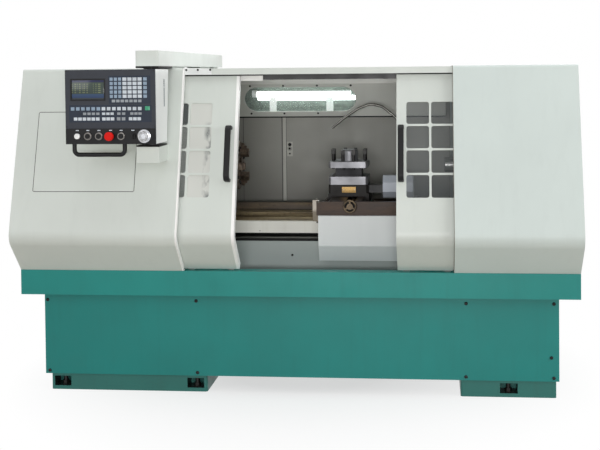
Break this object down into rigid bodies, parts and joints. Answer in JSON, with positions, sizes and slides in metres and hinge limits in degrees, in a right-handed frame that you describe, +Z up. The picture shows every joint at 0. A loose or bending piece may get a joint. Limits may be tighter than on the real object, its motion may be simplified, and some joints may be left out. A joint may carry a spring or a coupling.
{
  "type": "numerically controlled turning lathe",
  "caption": "Half enclosed flat-bed turning lathe with sliding window doors, chuck, square tool turret, tailstock, swivelling control pendant and a chip tray on two legs.",
  "frame": {"origin": "on the floor, under the middle of the machine's outline", "axes": "+X from the headstock to the tailstock, +Y from the operator to the back, +Z up"},
  "size_m": [2.64, 1.58, 1.633],
  "materials": {
    "cover_paint": "satin enamel",
    "base_paint": "satin enamel",
    "inner_paint": "satin enamel",
    "cream_paint": "satin enamel",
    "guard_paint": "satin enamel",
    "dark_paint": "satin enamel",
    "motor_paint": "satin enamel",
    "cabinet_paint": "satin enamel",
    "casting_paint": "satin enamel",
    "oiled_iron": "ground and coated with brown rust oil",
    "steel": "machined",
    "black_steel": "black oxide",
    "cover_steel": "satin",
    "black_plastic": "fine grain",
    "panel_plastic": "matt film",
    "red_plastic": "gloss",
    "white_plastic": "gloss",
    "belt_rubber": "matt",
    "door_glass": "tinted clear sheet",
    "lamp_glass": "clear",
    "lamp_white": "gloss"
  },
  "bodies": {
    "base": {"left_leg": "base_paint", "right_leg": "base_paint", "jack_bolts": "black_steel", "base_front_panel": "base_paint", "chip_tray": "base_paint", "bed": "oiled_iron", "bed_guard": "guard_paint", "screw_cover": "cream_paint", "z_motor": "dark_paint", "headstock_housing": "casting_paint", "spindle_bearings": "steel", "main_motor": "motor_paint", "drive_belts": "belt_rubber", "headstock_cover": "cover_paint", "access_panel": "cover_paint", "tail_cover": "cover_paint", "top_cover": "cover_paint", "rear_wall": "inner_paint", "lamp_housing": "inner_paint", "lamp_lens": "lamp_glass", "lamp_tube": "lamp_white", "pendant_arm": "cover_paint", "pendant_bracket": "cover_paint", "electrical_cabinet": "cabinet_paint"},
    "left_door": {"left_door": "cover_paint", "left_door_window": "door_glass", "left_door_handle": "black_plastic"},
    "right_door": {"right_door": "cover_paint", "right_door_window": "door_glass", "right_door_handle": "black_plastic"},
    "rear_door": {"rear_door": "inner_paint"},
    "spindle": {"spindle": "steel", "chuck_body": "oiled_iron"},
    "jaw_1": {"jaw_1": "oiled_iron"},
    "jaw_2": {"jaw_2": "oiled_iron"},
    "jaw_3": {"jaw_3": "oiled_iron"},
    "motor_pulley": {"motor_pulley": "steel"},
    "z_screw": {"z_screw": "steel"},
    "carriage": {"saddle": "oiled_iron", "apron_cover": "cream_paint", "x_motor": "dark_paint", "coolant_pipe": "steel"},
    "cross_slide": {"cross_slide": "dark_paint", "turret_base": "dark_paint", "turret_motor": "motor_paint"},
    "x_screw": {"x_screw": "steel"},
    "turret": {"turret_head": "cover_steel", "tool_bolts": "black_steel"},
    "tailstock": {"tailstock_body": "casting_paint"},
    "quill": {"quill": "steel"},
    "pendant": {"pendant_case": "cover_paint", "pendant_panel": "panel_plastic", "pendant_handle": "black_plastic"},
    "power_button": {"power_button": "white_plastic"},
    "push_button_1": {"push_button_1": "black_plastic"},
    "push_button_2": {"push_button_2": "black_plastic"},
    "push_button_3": {"push_button_3": "black_plastic"},
    "stop_button": {"stop_button": "red_plastic"},
    "selector_knob": {"selector_knob": "black_plastic"},
    "pulse_wheel": {"pulse_wheel": "cover_steel"}
  },
  "joints": [
    {"name": "left_door_slide", "type": "slide", "parent": "base", "child": "left_door", "axis": [1, 0, 0], "range_m": [-0.18, 0.371]},
    {"name": "right_door_slide", "type": "slide", "parent": "base", "child": "right_door", "axis": [1, 0, 0], "range_m": [-0.368, 0.14]},
    {"name": "rear_door_hinge", "type": "hinge", "parent": "base", "child": "rear_door", "pos_m": [0.722, 0.491, 0.965], "axis": [0, 0, -1], "range_deg": [0, 100]},
    {"name": "spindle_spin", "type": "hinge", "parent": "base", "child": "spindle", "pos_m": [-0.5, 0, 1.05], "axis": [1, 0, 0], "continuous": true},
    {"name": "jaw_1_slide", "type": "slide", "parent": "spindle", "child": "jaw_1", "axis": [0, 0.5, 0.866], "range_m": [-0.008, 0.006]},
    {"name": "jaw_2_slide", "type": "slide", "parent": "spindle", "child": "jaw_2", "axis": [0, -1, 0], "range_m": [-0.008, 0.006]},
    {"name": "jaw_3_slide", "type": "slide", "parent": "spindle", "child": "jaw_3", "axis": [0, 0.5, -0.866], "range_m": [-0.008, 0.006]},
    {"name": "motor_pulley_spin", "type": "hinge", "parent": "base", "child": "motor_pulley", "pos_m": [-1.136, 0, 0.29], "axis": [1, 0, 0], "continuous": true},
    {"name": "carriage_slide", "type": "slide", "parent": "base", "child": "carriage", "axis": [1, 0, 0], "range_m": [-0.36, 0.1]},
    {"name": "z_screw_spin", "type": "hinge", "parent": "base", "child": "z_screw", "pos_m": [0.35, -0.185, 0.7], "axis": [1, 0, 0], "continuous": true},
    {"name": "cross_slide_slide", "type": "slide", "parent": "carriage", "child": "cross_slide", "axis": [0, 1, 0], "range_m": [-0.18, 0.1]},
    {"name": "x_screw_spin", "type": "hinge", "parent": "carriage", "child": "x_screw", "pos_m": [0.251, -0.05, 0.882], "axis": [0, 1, 0], "continuous": true},
    {"name": "turret_index", "type": "hinge", "parent": "cross_slide", "child": "turret", "pos_m": [0.226, -0.047, 1], "axis": [0, 0, 1], "continuous": true},
    {"name": "tailstock_slide", "type": "slide", "parent": "base", "child": "tailstock", "axis": [1, 0, 0], "range_m": [-0.08, 0.05]},
    {"name": "quill_slide", "type": "slide", "parent": "tailstock", "child": "quill", "axis": [-1, 0, 0], "range_m": [-0.04, 0.1]},
    {"name": "pendant_swivel", "type": "hinge", "parent": "base", "child": "pendant", "pos_m": [-0.634, -0.64, 1.38], "axis": [0, 0, 1], "range_deg": [0, 90]},
    {"name": "power_button_press", "type": "slide", "parent": "pendant", "child": "power_button", "axis": [0, 1, 0], "range_m": [0, 0.004], "stiffness_N_per_m": 800},
    {"name": "push_button_1_press", "type": "slide", "parent": "pendant", "child": "push_button_1", "axis": [0, 1, 0], "range_m": [0, 0.004], "stiffness_N_per_m": 800},
    {"name": "push_button_2_press", "type": "slide", "parent": "pendant", "child": "push_button_2", "axis": [0, 1, 0], "range_m": [0, 0.004], "stiffness_N_per_m": 800},
    {"name": "push_button_3_press", "type": "slide", "parent": "pendant", "child": "push_button_3", "axis": [0, 1, 0], "range_m": [0, 0.004], "stiffness_N_per_m": 800},
    {"name": "stop_button_press", "type": "slide", "parent": "pendant", "child": "stop_button", "axis": [0, 1, 0], "range_m": [0, 0.006], "stiffness_N_per_m": 800},
    {"name": "selector_turn", "type": "hinge", "parent": "pendant", "child": "selector_knob", "pos_m": [-0.693, -0.75, 1.248], "axis": [0, -1, 0], "range_deg": [-60, 60]},
    {"name": "pulse_wheel_spin", "type": "hinge", "parent": "pendant", "child": "pulse_wheel", "pos_m": [-0.64, -0.75, 1.248], "axis": [0, -1, 0], "continuous": true}
  ],
  "couplings": [
    {"joint": "jaw_2_slide", "follows": "jaw_1_slide", "ratio": 1},
    {"joint": "jaw_3_slide", "follows": "jaw_1_slide", "ratio": 1},
    {"joint": "motor_pulley_spin", "follows": "spindle_spin", "ratio": 1.5095},
    {"joint": "z_screw_spin", "follows": "carriage_slide", "rad_per_m": 628.32},
    {"joint": "x_screw_spin", "follows": "cross_slide_slide", "rad_per_m": 1256.6}
  ]
}
